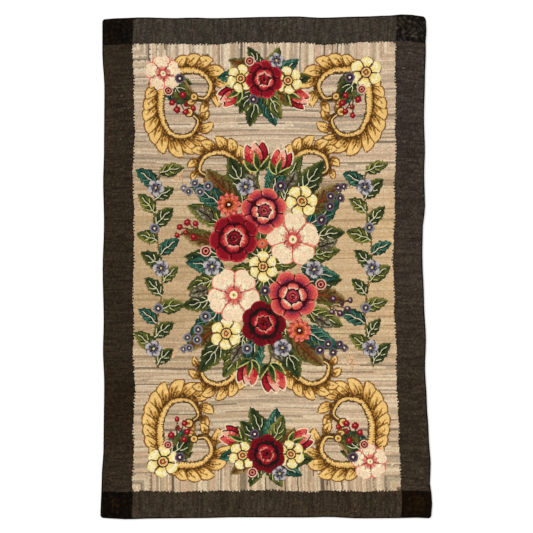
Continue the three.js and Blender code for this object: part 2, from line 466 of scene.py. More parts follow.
def teeth(place, low, high):
    """How far the border reaches into the field, at places along one side from low to high.

    Teeth two rows wide, TOOTH * sin(pi * (place - low) / row), grow and shrink along the side and
    lie on long and short waves, and all of it fades out at the two corners.
    """
    row = (high - low) / round((high - low) / ROW)
    fade = np.clip(np.minimum(place - low, high - place) / TEETH_FADE, 0, 1)
    waves = 1.3 * np.sin(place / 31 + 1) + 0.9 * np.sin(place / 12.5)
    waves = waves + 0.8 * np.sin(place / 3.7 + 2) + 0.4 * np.sin(place / 2.5)
    size = TOOTH * (0.9 + 0.6 * np.sin(place / 17))
    return fade * (size * np.sin(np.pi * (place - low) / row) + waves)


def field_reach(side, end):
    """How far the field reaches from the rug's middle: towards a side (-1 left, 1 right) and an end."""
    across = FIELD["right"] if side > 0 else -FIELD["left"]
    along = FIELD["top"] if end > 0 else -FIELD["bottom"]
    return across, along


def side_line(side):
    """The border's inner line on the left (-1) or right (1), as a function of the place along it."""
    line = side * field_reach(side, 1)[0]
    return lambda y: line - side * teeth(y, FIELD["bottom"], FIELD["top"])


def end_line(end):
    """The same at the bottom (-1) or top (1), measured outwards from the rug's middle."""
    line = field_reach(1, end)[1]
    return lambda x: line - teeth(x, FIELD["left"], FIELD["right"])


def from_field_edge(place):
    """How far inside the field a place lies: its distances to the nearer side and to the nearer end."""
    from_side = np.minimum(place[:, 0] - FIELD["left"], FIELD["right"] - place[:, 0])
    from_end = np.minimum(place[:, 1] - FIELD["bottom"], FIELD["top"] - place[:, 1])
    return np.maximum(from_side, 0), np.maximum(from_end, 0)


CORNER_STRIPS = random.random((4, 20))  # for each corner, a number for each strip that turns there


def ground_wool(place, row, along, longest, alike, contrast):
    """Striped ground: each strip is one of the ground's wools, stronger towards the two ends.

    In the four corners an upright strip goes on as a lying one, at the same distance from the corner.

    colour = lightness * yellowing * (base + strength * (strip - mean of the strips)), where the base passes
    from tan in the middle to that mean at the ends, and the strength rises from STRIP_STRENGTH by
    contrast. The lightness leaves the middle's right side a little lighter and both ends darker, the
    bottom most. The yellowing takes a little green and more blue away at the bottom, and adds them at
    the top.
    """
    wools = linear(GROUND)
    weights = list(GROUND.values())
    shares = np.cumsum(weights)
    mean = np.average(wools, axis=0, weights=weights)
    pick = strips(row, along, longest / 4, longest, alike)
    reach = np.maximum(*from_field_edge(place))
    near, corner_number = reach < END_BAND, 2 * (place[:, 0] > 0) + (place[:, 1] > 0)
    pick[near] = CORNER_STRIPS[corner_number[near], (reach[near] / GROUND_ROW / STRIP_ROWS).astype(int)]
    strip = wools[np.searchsorted(shares, np.clip(pick, 0, 0.999) * shares[-1])]
    ends = np.clip((np.abs(place[:, 1]) - MIDDLE_HALF) / MIDDLE_FADE, 0, 1)[:, None]
    ends = ends**2 * (3 - 2 * ends)
    base = mean * ends + linear(["tan"]) * (1 - ends)
    across, up = (2 * place / (WIDTH, LENGTH)).T
    lightness = 1 + GROUND_LIGHTNESS["right"] * across * (1 - up**2) + GROUND_LIGHTNESS["up"] * up - GROUND_LIGHTNESS["ends"] * up**2
    yellowing = 1 + up[:, None] * YELLOWING
    colour = lightness[:, None] * yellowing * (base + (STRIP_STRENGTH + contrast * ends) * (strip - mean))
    return colour * np.exp(random.normal(0, TONE_SPREAD, (len(place), 1)))


def border_wool(side, inside, row, along, place):
    """Charcoal border: strips between soot and ash, flecked loop by loop, darkest beside the field as
    painted shade.

    inside is how far the loop lies out from the field, and place is how far along the named side.
    Each patch of dye fades as exp(-((place - middle) / reach)^2).
    """
    soot, ash, lint = linear(["soot", "ash", "lint"])
    pick = STRIP_PART * strips(row, along, *BORDER_STRIPS) + (1 - STRIP_PART) * random.random(len(row))
    colour = (soot + (ash - soot) * pick[:, None]) * BORDER_TINTS[side]
    flecks = random.normal(0, BORDER_FLECKS, (len(row), 1))
    colour = colour * np.exp(flecks + random.normal(0, BORDER_TINGE, colour.shape))
    # painted shade: the border's loops are darkened beside the field, as if in the pile's shadow
    colour *= np.clip(FIELD_SHADE + SHADE_RISE * inside, 0, 1)[:, None]
    for dye in DYE_PATCHES:
        if dye.side == side:
            part = np.exp(-(((place - dye.along) / dye.reach) ** 2))
            colour *= np.array(dye.tint) ** part[:, None]
    linty = random.random(len(row)) < LINT_SHARE
    colour[linty] = lint * LINT_TONE
    return colour


def row_batch(place, heading, size, wool):
    """Loops of the border and ground: their size is (along the row, across it), each a little off."""
    count = len(place)
    along, across = (
        pitch * plumpness * np.exp(random.normal(0, SIZE_SPREAD, count))
        for pitch, plumpness in zip(size, ROW_PLUMPNESS)
    )
    return Loops(place, heading + random.normal(0, ROW_TURN, count), along, across, wool)


def side_border(side):
    """One side border: rows square to the rug's long edge, from the field's line to the rim."""
    name = "right" if side > 0 else "left"
    line, rim = side_line(side), RIM["across"]
    start, end = ((line, lambda y: rim) if side > 0 else (lambda y: -rim, line))
    row, y, x = straight_rows(FIELD["bottom"], FIELD["top"], ROW, STEP, start, end)
    wool = border_wool(name, side * (x - line(y)), row, x, y)
    return row_batch(np.stack([x, y], axis=1), np.zeros(len(row)), (STEP, ROW), wool)


def end_border(end):
    """One end border: upright rows from the field's line to the rim."""
    line, rim = end_line(end), RIM["along"]
    row, x, out = straight_rows(FIELD["left"], FIELD["right"], ROW, STEP, line, lambda x: rim)
    wool = border_wool("top" if end > 0 else "bottom", out - line(x), row, out, x)
    return row_batch(np.stack([x, end * out], axis=1), np.full(len(row), np.pi / 2), (STEP, ROW), wool)


def lying_ground():
    """The ground's rows across the rug, between its two side borders."""
    row, y, x = straight_rows(
        FIELD["bottom"], FIELD["top"], GROUND_ROW, GROUND_STEP, side_line(-1), side_line(1)
    )
    place = np.stack([x, y], axis=1)
    wool = ground_wool(place, row, x, longest=480, alike=0.12, contrast=0.4)
    loops = row_batch(place, np.zeros(len(row)), (GROUND_STEP, GROUND_ROW), wool)
    return keep(loops, ~upright_here(place))


def upright_ground(end):
    """The ground's upright rows in the band at one end of the field."""
    line = end_line(end)
    depth = line(0.0) - END_BAND * BAND_SPARE
    row, x, out = straight_rows(
        FIELD["left"], FIELD["right"], GROUND_ROW, GROUND_STEP, lambda x: depth, line
    )
    place = np.stack([x, end * out], axis=1)
    wool = ground_wool(place, row, out, longest=400, alike=0.2, contrast=0.6)
    loops = row_batch(place, np.full(len(row), np.pi / 2), (GROUND_STEP, GROUND_ROW), wool)
    return keep(loops, upright_here(place))


def upright_here(place):
    """Whether the ground's row is an upright one: near an end, and nearer to it than to a side.

    The two meet on a mitre at each corner and, along the end band, at a depth that wavers.
    """
    from_side, from_end = from_field_edge(place)
    depth = END_BAND + sum(height * np.sin(place[:, 0] / radian) for height, radian in BAND_WAVES)
    return (from_end < depth) & (from_end < from_side)


def corner_rows(side, end):
    """A corner square of rows inside each other, mitred: lying rows above and below, upright ones beside.

    Each ring of rows has a tone of its own. The tint is the middle's up to TINT_STARTS of the way out,
    and passes into the rim's over the next TINT_TAKES. The mottling is
    exp(m * (WAVE_PART * w + LOOP_PART * n) - m^2 / 2), where m is the square's mottle, w is a wave over
    the rug and n is a normal draw for each loop. The last term roughly keeps the mean tone.
    """
    dye = CORNER_DYES[side, end]
    inner = dict(zip(("across", "along"), field_reach(side, end)))
    batches = []
    tones = np.exp(random.normal(*RING_TONES, CORNER_RINGS))
    for rows, steps in (("along", "across"), ("across", "along")):
        _, a, b = straight_rows(
            inner[rows], RIM[rows], ROW, STEP, lambda _: inner[steps], lambda _: RIM[steps]
        )
        spot = {rows: a, steps: b}
        share = {key: np.abs(2 * (spot[key] - inner[key]) / (RIM[key] - inner[key]) - 1) for key in spot}
        mine = share[rows] >= share[steps]
        place = np.stack([side * spot["across"], end * spot["along"]], axis=1)[mine]
        ring_tone = tones[np.round((CORNER_RINGS - 1) * share[rows]).astype(int)][mine]
        out = np.clip((share[rows][mine] - TINT_STARTS) / TINT_TAKES, 0, 1)[:, None]
        tint = np.array(dye.middle) ** (1 - out) * np.array(dye.rim) ** out
        x, y = place.T
        wave = np.sin(x / 4 + 2 * np.sin(y / 9)) * np.sin(y / 5 + 2 * np.sin(x / 11))
        mottling = dye.mottle * (WAVE_PART * wave + LOOP_PART * random.normal(0, 1, len(place)))
        mottling -= dye.mottle**2 / 2
        wool = linear(["black"]) * tint * (ring_tone * np.exp(mottling))[:, None]
        heading = np.full(len(place), 0 if rows == "along" else np.pi / 2)
        batches.append(row_batch(place, heading, (STEP, ROW), wool))
    return join(batches)


# ---------------------------------------------------------------- loops in motifs

# A patch is a stretch of one motif: a spine with a reach to each side. Its wools run in the
# direction of its lean: along the spine, towards the edges, and from its right side to its left.
Patch = namedtuple("Patch", "spine reach wools lean outline pile")

CELL = 1.0  # of the plan that says which patch covers which place
PAINT_GAP = 0.55 * CELL  # between the points that mark the cells under a patch
PAINT_MARGIN = 0.4  # how far past its reach a patch is marked
PAINT_LEAST = 0.2  # a patch that reaches no farther than this isn't marked
TOOTH_CUT = 0.22  # how deep the teeth of a leaf cut in, as a share of its reach
BLADE_POINTS = 56  # on the spine of a petal or a leaf
RING_POINTS = 72  # on that of a ring, whose last point is its first one again
CRESCENT_POINTS = 48  # on that of a cupped petal


def patch(spine, reach, wools, lean=(1, 0, 0), outline=(None, None), pile="flowers"):
    """A patch with its defaults: outline names the wools of its right and left edge rows."""
    return Patch(np.asarray(spine, float), np.asarray(reach, float), wools, lean, outline, pile)


def normals(spine):
    """Unit normals on a line's left, from the differences of its points."""
    tangent = np.gradient(spine, axis=0)
    tangent /= np.maximum(np.linalg.norm(tangent, axis=1, keepdims=True), 1e-9)
    return np.stack([-tangent[:, 1], tangent[:, 0]], axis=1)


def run_of(line):
    """The length of a line up to each of its points."""
    return np.concatenate([[0], np.cumsum(np.linalg.norm(np.diff(line, axis=0), axis=1))])


def read_line(line, marks, at):
    """The places on a line at these marks, straight between the marks of its own points."""
    return np.stack([np.interp(at, marks, line[:, k]) for k in (0, 1)], axis=1)


def compass(angle):
    """Unit vectors at one or more angles."""
    return np.stack([np.cos(angle), np.sin(angle)], axis=-1)


def curve(points, count=80):
    """A smooth line through points, even in length: each stretch is a Catmull-Rom cubic of four points."""
    p = np.asarray(points, float)
    p = np.vstack([2 * p[0] - p[1], p, 2 * p[-1] - p[-2]])
    t = np.linspace(0, len(points) - 1 - 1e-6, 8 * len(points))
    i = t.astype(int)
    f = (t - i)[:, None]
    a, b, c, d = p[i], p[i + 1], p[i + 2], p[i + 3]
    squared = (2 * a - 5 * b + 4 * c - d) * f**2
    cubed = (3 * b - a - 3 * c + d) * f**3
    line = 0.5 * (2 * b + (c - a) * f + squared + cubed)
    run = run_of(line)
    return read_line(line, run, np.linspace(0, run[-1], count))


def blade(foot, towards, length, width, skew=1.0, blunt=1.0, bend=0.0, teeth=0):
    """A petal or a leaf: (spine, reach).

    The spine sets out from foot and turns by bend over its length. The reach is half the width times
    sin(pi * s ^ skew) ^ blunt, where s runs from 0 to 1, and each of its saw teeth cuts in by up to
    TOOTH_CUT of it.
    """
    s = np.linspace(0, 1, BLADE_POINTS)
    heading = towards + bend * (s - 0.5)
    steps = compass(heading) * length / (BLADE_POINTS - 1)
    spine = np.asarray(foot, float) + np.concatenate([[[0, 0]], np.cumsum(steps[1:], axis=0)])
    reach = width / 2 * np.clip(np.sin(np.pi * s**skew), 0, 1) ** blunt
    if teeth:
        reach = reach * (1 - TOOTH_CUT * (teeth * s % 1))
    return spine, reach


def stroke(points, width=FINE_ROW, count=40):
    """A line of one row, or of a few: (spine, reach)."""
    spine = curve(points, count)
    return spine, np.full(count, width / 2)


def ring(centre, inner, outer):
    """A band round a centre, its right side outermost: (spine, reach)."""
    turn = np.linspace(0, 2 * np.pi, RING_POINTS)
    middle = (inner + outer) / 2
    spine = np.asarray(centre, float) + middle * compass(turn)
    return spine, np.full(len(turn), (outer - inner) / 2)


def crescent(centre, radius, turn, span, width, blunt=0.5, dip=0.14):
    """A cupped petal: (spine, reach).

    Its spine runs clockwise round the centre, at radius * (1 - dip * (2 s - 1) ^ 2), where s runs from
    0 to 1. The reach is half the width times sin(pi * s) ^ blunt.
    """
    s = np.linspace(0, 1, CRESCENT_POINTS)
    angle = turn + span * (0.5 - s)
    out = radius * (1 - dip * (2 * s - 1) ** 2)
    spine = np.asarray(centre, float) + out[:, None] * compass(angle)
    return spine, width / 2 * np.sin(np.pi * s) ** blunt


def polar(centre, radius, angle):
    """The point at a distance and angle from a centre."""
    return np.asarray(centre, float) + radius * compass(angle)


def bearing(line, i):
    """The direction of a line at its point i."""
    step = line[min(i + 1, len(line) - 1)] - line[max(i - 1, 0)]
    return np.arctan2(step[1], step[0])


def disc(centre, radius, wools, pile="flowers"):
    """A round patch, its wools from the rim to the middle."""
    return patch(*ring(centre, 0, radius), wools, (0, 0, 1), pile=pile)


def petals(centre, radius, turns, foot, length, width, wools, outline=(None, None), skew=1.5, blunt=0.6):
    """Petals like blades round a centre. Their feet, length and width are shares of the radius."""
    parts = []
    for angle in turns:
        size = random.normal((length, width), 0.02) * radius
        base = polar(centre, foot * radius, angle)
        shape = blade(base, angle + random.normal(0, 0.03), *size, skew, blunt)
        parts.append(patch(*shape, wools, (1, 0, 0), outline))
    return parts


def rays(centre, inner, outer, turns, wools, width=THIN):
    """Thin straight lines round a centre, from one distance to another."""
    return [
        patch(*stroke([polar(centre, inner, angle), polar(centre, outer, angle)], width, 12), wools)
        for angle in turns
    ]


def around(count, turn=0.0):
    """Angles evenly round a centre."""
    return turn + 2 * np.pi * np.arange(count) / count


def rose(centre, radius, turn, look):
    """A full rose: wide outer petals with shadows at their feet, cupped inner ones with pale lips, a heart.

    No two petals are quite alike: each is turned, moved and widened by a little chance.
    """
    line = [look["line"]]
    parts = [disc(centre, 0.84 * radius, line)]
    outer = around(7, turn) + random.normal(0, 0.05, 7)
    for angle in outer:
        out, width = random.normal((0.77, 0.46), (0.018, 0.02)) * radius
        shape = crescent(centre, out, angle, 1.08, width)
        parts.append(patch(*shape, look["outer"], (0, 0, 1), (look["line"], look["rim"])))
    parts += rays(centre, 0.58 * radius, 0.86 * radius, outer + np.pi / 7, line)
    parts.append(disc(centre, 0.6 * radius, line))
    for angle in around(5, turn + 0.4) + random.normal(0, 0.07, 5):
        out, width = random.normal((0.44, 0.34), (0.015, 0.02)) * radius
        span = random.normal(1.2, 0.06)
        shape = crescent(centre, out, angle, span, width, blunt=0.35, dip=0.04)
        parts.append(patch(*shape, look["inner"], (0, 0, 1), (look["inner"][0], look["line"])))
    parts.append(disc(centre, 0.29 * radius, line))
    parts.append(disc(centre, 0.25 * radius, look["heart"]))
    for number, angle in enumerate(turn + 2.3 * np.arange(4)):
        shape = crescent(centre, (0.06 + 0.04 * number) * radius, angle, 2.0, THIN)
        parts.append(patch(*shape, [look["inner"][1], look["inner"][2]][number % 2 :]))
    parts.append(disc(centre, 2.6, ["ink"]))
    return parts


def blossom(centre, radius, turn):
    """A wide pale blossom of five notched petals, rosy lines between them, and a ringed yellow eye."""
    wools = ["salmon", "blush", "shell", "ivory", "shell", "shell", "shell"]
    parts = [disc(centre, 0.7 * radius, ["salmon"])]
    for angle in around(5, turn):
        for aside in (-0.25, 0.25):
            outline = ("salmon", None) if aside < 0 else (None, "salmon")
            parts += petals(
                centre, radius, [angle + aside], 0.1, 0.9, 0.62, wools, outline, skew=1.9, blunt=0.55
            )
        parts += petals(centre, radius, [angle], 0.1, 0.8, 0.56, wools, skew=1.7)
    between = around(5, turn + np.pi / 5)
    parts += rays(centre, 0.18 * radius, 0.74 * radius, between, ["rosewood", "coral", "salmon"])
    for aside in (-0.36, -0.18, 0.0, 0.18, 0.36):
        length = 0.5 if aside == 0 else 0.4
        turns = around(5, turn + aside)
        parts += rays(centre, 0.16 * radius, length * radius, turns, ["coral", "salmon", "blush"], width=2.2)
    parts.append(disc(centre, 0.2 * radius, ["coral"]))
    parts.append(disc(centre, 0.15 * radius, ["ivory", "lemon"]))
    parts.append(disc(centre, 2.4, ["moss"]))
    return parts


def daisy(centre, radius, turn):
    """A pale yellow daisy: six round petals with dark lines between them, and a ringed golden eye."""
    wools = ["gold", "straw", "lemon", "ivory", "lemon"]
    parts = petals(
        centre, radius, around(6, turn), 0.1, 0.9, 0.84, wools, ("toffee", None), skew=1.7, blunt=0.5
    )
    between = around(6, turn + np.pi / 6)
    parts += rays(centre, 0.34 * radius, 0.72 * radius, between, ["ink", "brown", "toffee"])
    parts.append(disc(centre, 0.37 * radius, ["ink"]))
    parts.append(disc(centre, 0.30 * radius, ["straw", "gold"]))
    parts.append(disc(centre, 0.17 * radius, ["rust"]))
    parts.append(disc(centre, 0.08 * radius, ["pear"]))
    return parts


def marigold(centre, radius, turn):
    """A terracotta marigold: two rings of short petals round a dark one and a pale eye."""
    outer, inner = ["rust", "orange", "coral", "salmon"], ["garnet", "rust", "orange", "salmon"]
    parts = petals(centre, radius, around(11, turn), 0.2, 0.8, 0.5, outer, ("rust", None))
    parts += petals(centre, 0.66 * radius, around(8, turn + 0.2), 0.2, 0.8, 0.6, inner)
    parts.append(disc(centre, 0.26 * radius, ["garnet"]))
    parts.append(disc(centre, 0.12 * radius, ["shell"]))
    return parts


def aster(centre, radius, turn):
    """A small blue flower: five round petals from navy feet to lilac rims, and a pale eye."""
    wools = ["navy", "slate", "lavender", "lilac", "lilac"]
    parts = petals(centre, radius, around(5, turn), 0.1, 0.9, 0.96, wools, ("slate", None), blunt=0.5)
    parts += rays(centre, 0.1 * radius, 0.6 * radius, around(5, turn), ["plum", "navy"])
    parts.append(disc(centre, 0.2 * radius, ["navy"]))
    parts.append(disc(centre, 0.12 * radius, ["lemon"]))
    return parts


def button(centre, radius, wools):
    """A small round flower in even rings, its wools from the middle outwards."""
    return [disc(centre, radius * (k + 1) / len(wools), [wools[k]]) for k in reversed(range(len(wools)))]


def berries(foot, towards, wools):
    """A bunch of round berries on a forked stalk: wools of the glint and of the berry."""
    parts = []
    for number, (out, aside) in enumerate(BERRY_PLACES):
        centre = polar(foot, out, towards + aside)
        middle = polar(foot, 0.5 * out, towards + 0.6 * aside)
        parts.append(patch(*stroke([foot, middle, centre], THIN), ["olive", "brown"], pile="leaves"))
        parts.append(disc(centre, 10 - number % 3, wools[1:]))
        parts.append(disc(polar(centre, 2, 2.2), 3.2, wools[:1]))
    return parts


def chain(foot, towards, wools):
    """A bent stalk with small round flowers on both its sides, smaller towards its tip."""
    stalk = curve([polar(foot, out, towards + 0.004 * out) for out in (0, 34, 68, 102)], 60)
    parts = [patch(*stroke(stalk, THIN), ["olive", "forest"], pile="leaves")]
    for number, share in enumerate((0.98, 0.8, 0.62, 0.44, 0.26)):
        i = int(share * (len(stalk) - 1))
        aside = (0, 1, -1, 1, -1)[number]
        centre = polar(stalk[i], 13 * abs(aside), bearing(stalk, i) + 1.2 * aside)
        parts += button(centre, 11 + 0.8 * number, wools)
    return parts


def vein(line, wool, shade):
    """A thin line that tapers a little, with a dark one on its right."""
    reach = np.linspace(0.55, 0.38, len(line)) * THIN
    return [
        patch(line - THIN * normals(line), reach, [shade], pile="leaves"),
        patch(line, reach, [wool], pile="leaves"),
    ]


def leaf(foot, towards, length, width, kind, bend=0.3, teeth=5, pairs=3):
    """A toothed leaf, dark on one half and light on the other, with a midrib and pairs of side veins.

    The veins curve from the midrib to near the edge, and the midrib wavers as a sine of its length.
    """
    look = LEAVES[kind]
    spine, reach = blade(foot, towards, length, width, skew=0.8, blunt=0.78, bend=bend, teeth=teeth)
    edges = (look["outline"], look["edge"])
    parts = [patch(spine, reach, look["wools"], (0.25, 0.0, 0.75), edges, "leaves")]
    normal = normals(spine)
    for share in 0.12 + 0.52 * np.arange(pairs) / max(pairs, 1):
        start = int(share * len(spine))
        middle, end = start + int(0.08 * len(spine)), start + int(0.21 * len(spine))
        for side in (-1, 1):
            bow = spine[middle] + side * 0.42 * reach[middle] * normal[middle]
            tip = spine[end] + side * 0.72 * reach[end] * normal[end]
            parts += vein(curve([spine[start], bow, tip], 14), look["vein"], look["shade"])
    waver = WAVER * np.sin(np.linspace(0, 0.2 * length, len(spine)) + 5 * towards)
    rib = (spine + waver[:, None] * normal)[: int(0.82 * len(spine))]
    return parts + vein(rib, look["rib"], look["shade"])


def bud(foot, towards, length):
    """A long bud on a stem: crimson petals edged with a pale row, in a green cup of three sepals."""
    neck = polar(foot, 0.4 * length, towards - 0.12)
    stem = stroke([foot, polar(foot, 0.2 * length, towards + 0.1), neck], 1.6 * FINE_ROW)
    parts = [patch(*stem, ["olive", "forest"], pile="leaves")]
    petal_rows = [
        {"aside": -0.30, "wools": ["garnet", "crimson", "scarlet"]},
        {"aside": 0.30, "wools": ["crimson", "scarlet", "coral"]},
        {"aside": 0.0, "wools": ["crimson", "coral", "blush"]},
    ]
    for row in petal_rows:
        towards_tip = towards + row["aside"]
        size = {"skew": 0.9, "blunt": 0.7, "bend": -row["aside"]}
        parts.append(patch(*blade(neck, towards_tip, 0.6 * length, 0.27 * length + 6, **size), ["shell"]))
    for row in petal_rows:
        towards_tip = towards + row["aside"]
        size = {"skew": 0.9, "blunt": 0.75, "bend": -row["aside"]}
        shape = blade(neck, towards_tip, 0.56 * length, 0.27 * length, **size)
        parts.append(patch(*shape, row["wools"], (1, 0, 0), ("garnet", None)))
    for aside in (-0.72, 0.72, 0.06):
        size = {"skew": 0.75, "bend": -1.5 * aside}
        shape = blade(polar(neck, -4, towards), towards + aside, 0.42 * length, 0.14 * length, **size)
        parts.append(patch(*shape, ["bottle", "forest", "olive"], (1, 0, 0), ("olive", "pear"), "leaves"))
    return parts


# ---------------------------------------------------------------- the design


def half_turned(x, y, degrees):
    """A foot and its direction in radians, and both again with half a turn about the rug's middle."""
    place = np.array([x, y])
    return [(place, np.radians(degrees)), (-1 * place, np.radians(degrees) + np.pi)]


def bouquet():
    """The middle bouquet: gold scrolls and leaves, then berries and buds, then the flowers."""
    parts = []
    for side in (-1, 1):
        for end in (-1, 1):
            parts += scroll([(side * x, end * y) for x, y in BOUQUET_SCROLL], -side * end, 62)
    for number, row in enumerate(SPRAYS):
        for half, (foot, towards) in enumerate(half_turned(row.x, row.y, row.towards)):
            towards = towards + 0.12 * np.sin(7.0 * number + half)
            bend = 0.5 * np.sin(4.7 * number + half)
            parts += leaf(foot, towards, row.length, 0.52 * row.length, row.kind, bend)
    for number, angle in enumerate(around(8, 0.2)):
        foot, length = (0, 30 * np.sin(angle)), 88 + 44 * abs(np.cos(angle))
        parts += leaf(foot, angle, length, 54, ("olive", "bottle")[number % 2], pairs=2)
    for row in FADED_LEAVES:
        for foot, towards in half_turned(*row):
            parts += leaf(foot, towards, 62, 36, "sage", teeth=0, pairs=2)
    for row in BUDS:
        parts += bud((row.x, row.y), np.radians(row.towards), row.length)
    for row in BERRIES:
        parts += berries((row.x, row.y), np.radians(row.towards), row.wools)
    for row in CHAINS:
        parts += chain((row.x, row.y), np.radians(row.towards), BUTTONS[row.flower])
    flowers = {"blossom": blossom, "daisy": daisy, "aster": aster, "marigold": marigold}
    for row in BLOOMS:
        centre = (row.x, row.y)
        if row.kind in flowers:
            parts += flowers[row.kind](centre, row.radius, row.turn)
        elif row.kind in ROSES:
            parts += rose(centre, row.radius, row.turn, ROSES[row.kind])
        else:
            parts += button(centre, row.radius, BUTTONS[row.kind])
    return parts


def scroll(points, hand, size):
    """A gold leaf scroll: a broad band that tapers into its own curl, with lobes on its outer side.

    hand is 1 where the curl turns to the left and -1 where it turns to the right. The lobes stand
    LOBE_GAP apart, tips forward, in lengths of size * sin(pi * (0.22 + 0.62 * s)) for s from 0 at the
    foot to 1 at the curl. Short dark marks HATCH_GAP apart run in from both edges of the band.
    """
    spine = curve(points, 150)
    lobe_wools = ["brown", "ochre", "gold", "straw", "straw", "straw"]
    reach = np.interp(np.linspace(0, 1, len(spine)), BAND_REACH["share"], BAND_REACH["reach"])
    parts = [patch(spine - 0.9 * hand * reach[:, None] * normals(spine), reach, ["brown"], pile="scrolls")]
    for s in np.linspace(0.97, 0.04, int(run_of(spine)[-1] / LOBE_GAP)):
        i = int(s * (len(spine) - 1))
        length = size * np.sin(np.pi * (0.22 + 0.62 * s))
        heading = bearing(spine, i) - 0.7 * hand
        shape = blade(spine[i], heading, length, 0.54 * length, skew=1.1, blunt=0.75, bend=1.3 * hand)
        parts.append(patch(*shape, lobe_wools, (1, 0, 0), ("toffee", "toffee"), "scrolls"))
        for share in (-0.45, 0.0, 0.45):
            line = shape[0] + share * shape[1][:, None] * normals(shape[0])
            line = line[10 : 40 if share == 0 else 28]
            parts.append(patch(*stroke(line, THIN, 20), ["brown", "toffee", "ochre"], pile="scrolls"))
    band = ["ochre", "gold", "straw", "straw", "lemon"][::hand]
    parts.append(patch(spine, reach, band, (0, 0, 1), ("brown", "brown"), "scrolls"))
    parts += hatching(spine, reach, 0.55, HATCH_GAP, (0.04, 0.9))
    parts.append(disc(spine[-1], 0.18 * size, ["brown", "straw", "gold", "toffee"], "scrolls"))
    return parts


def hatching(spine, reach, depth, gap, part):
    """Short dark marks a gap apart that run in from both edges of a patch, to a share of its reach.

    part gives the shares of the spine between which they stand, and no two are quite as long.
    """
    run, normal = run_of(spine), normals(spine)
    marks = []
    for place in np.arange(part[0] * run[-1], part[1] * run[-1], gap):
        for side in (-1, 1):
            i = int(np.interp(place + random.uniform(-0.2, 0.2) * gap, run, np.arange(len(spine))))
            outer = spine[i] + side * reach[i] * normal[i]
            inner = spine[i] + side * reach[i] * (1 - depth * random.uniform(0.6, 1.3)) * normal[i]
            marks.append(patch(*stroke([outer, inner], THIN, 8), ["brown", "toffee"], pile="scrolls"))
    return marks


def corner(side, end):
    """Two scrolls that spring from a corner of the field, with a flower and leaves where they part."""
    origin = np.array([side, end]) * field_reach(side, end)
    inward = -np.array([side, end])
    hand = side * end

    def at(x, y):
        return origin + inward * (x, y)

    def way(degrees):
        angle = np.radians(degrees)
        return np.arctan2(inward[1] * np.sin(angle), inward[0] * np.cos(angle))

    parts = []
    for degrees, length, kind in CORNER_LEAVES:
        parts += leaf(at(88, 88), way(degrees), length, 0.5 * length, kind)
    parts += scroll([at(*p) for p in SIDE_SCROLL], -hand, 80)
    parts += scroll([at(*p) for p in END_SCROLL], hand, 72)
    parts += berries(at(118, 138), way(62), ["coral", "crimson"])
    if side * end > 0:
        parts += daisy(at(90, 90), 48, 0.4)
    else:
        parts += blossom(at(90, 90), 54, 0.4)
    parts += button(at(140, 104), 15, BUTTONS["violet"])
    parts += button(at(104, 142), 14, BUTTONS["pink"])
    return parts


def garland(side):
    """A leafy garland up one side, on a waving stem, with small flowers between the leaves."""
    y = np.linspace(-GARLAND_HALF, GARLAND_HALF, 9)
    out = GARLAND_OUT + GARLAND_SWAY * np.sin(y / 62 + side)
    stem = curve(np.stack([side * out, y], axis=1), 160)
    reach = np.full(len(stem), 0.7 * FINE_ROW)
    parts = [patch(stem, reach, ["bronze", "toffee", "bronze"], pile="leaves")]
    kinds = ["bottle", "olive", "bottle", "teal", "olive"]
    for number, share in enumerate(np.linspace(0.02, 0.98, 15)):
        i = int(share * (len(stem) - 1))
        lean = 1 if number % 2 else -1
        heading = bearing(stem, i) + lean * (0.95 + 0.2 * np.sin(5.0 * number))
        size = 76 + 8 * np.sin(2.1 * number + side)
        kind = kinds[number % len(kinds)]
        parts += leaf(stem[i], heading, size, 0.62 * size, kind, 0.4 * lean, teeth=4, pairs=2)
    for number, share in enumerate((0.1, 0.3, 0.5, 0.7, 0.9)):
        i = int(share * (len(stem) - 1))
        centre = stem[i] + np.array([side * 3, 0])
        parts += button(centre, 15, BUTTONS["blue"]) if number % 2 else aster(centre, 25, share)
    return parts


def posy(end):
    """A posy in the middle of one end: leaves and buds spread to both sides of a rose."""
    centre = np.array([0.0, end * POSY_OUT])
    parts = []
    for degrees, length, kind in POSY_LEAVES:
        angle = end * np.radians(degrees)
        parts += leaf(polar(centre, 12, angle), angle, length, 0.5 * length, kind)
    for degrees in (206, 334):
        angle = end * np.radians(degrees)
        parts += bud(polar(centre, 36, angle), angle, 120)
    parts += daisy(centre + (-72, 4 * end), 42, 0.2)
    parts += daisy(centre + (74, -2 * end), 42, 0.6)
    parts += rose(centre, 58, 0.5, ROSES["crimson_rose" if end > 0 else "wine_rose"])
    parts += aster(centre + (40, 58 * end), 22, 0.3)
    parts += button(centre + (-42, 56 * end), 15, BUTTONS["pink"])
    parts += button(centre + (-34, -60 * end), 14, BUTTONS["violet"])
    return parts


def ghost(foot, towards):
    """A faint sprig in peach, as if an earlier drawing showed through."""
    parts = []
    for share, aside in GHOST_LEAVES:
        start = polar(foot, GHOST_STEM * share, towards)
        length = GHOST_LEAF if aside else GHOST_STEM
        shape = blade(start, towards + aside, length, GHOST_BREADTH, blunt=0.8)
        parts.append(patch(*shape, ["peach"], pile="ground"))
    return parts


def design():
    """Every patch of the field, from the back to the front."""
    parts = []
    for x, y, degrees in GHOSTS:
        parts += ghost((x, y), np.radians(degrees))
    for side in (-1, 1):
        parts += garland(side)
        for end in (-1, 1):
            parts += corner(side, end)
    for end in (-1, 1):
        parts += posy(end)
    return parts + bouquet()


# ---------------------------------------------------------------- patches to loops

SINGLE = (-0.42, 0.25)  # how far from the spine, in rows, one row on it stands for two beside it
LEAST_REACH = 0.9  # a patch that reaches farther than this has at least that one row
FEATHER = 0.4  # how far into the next wool a loop may stray, as a share of that wool's part
EDGE_SHARE = 0.3  # a first row this far out from the spine, against the reach, is an outline's


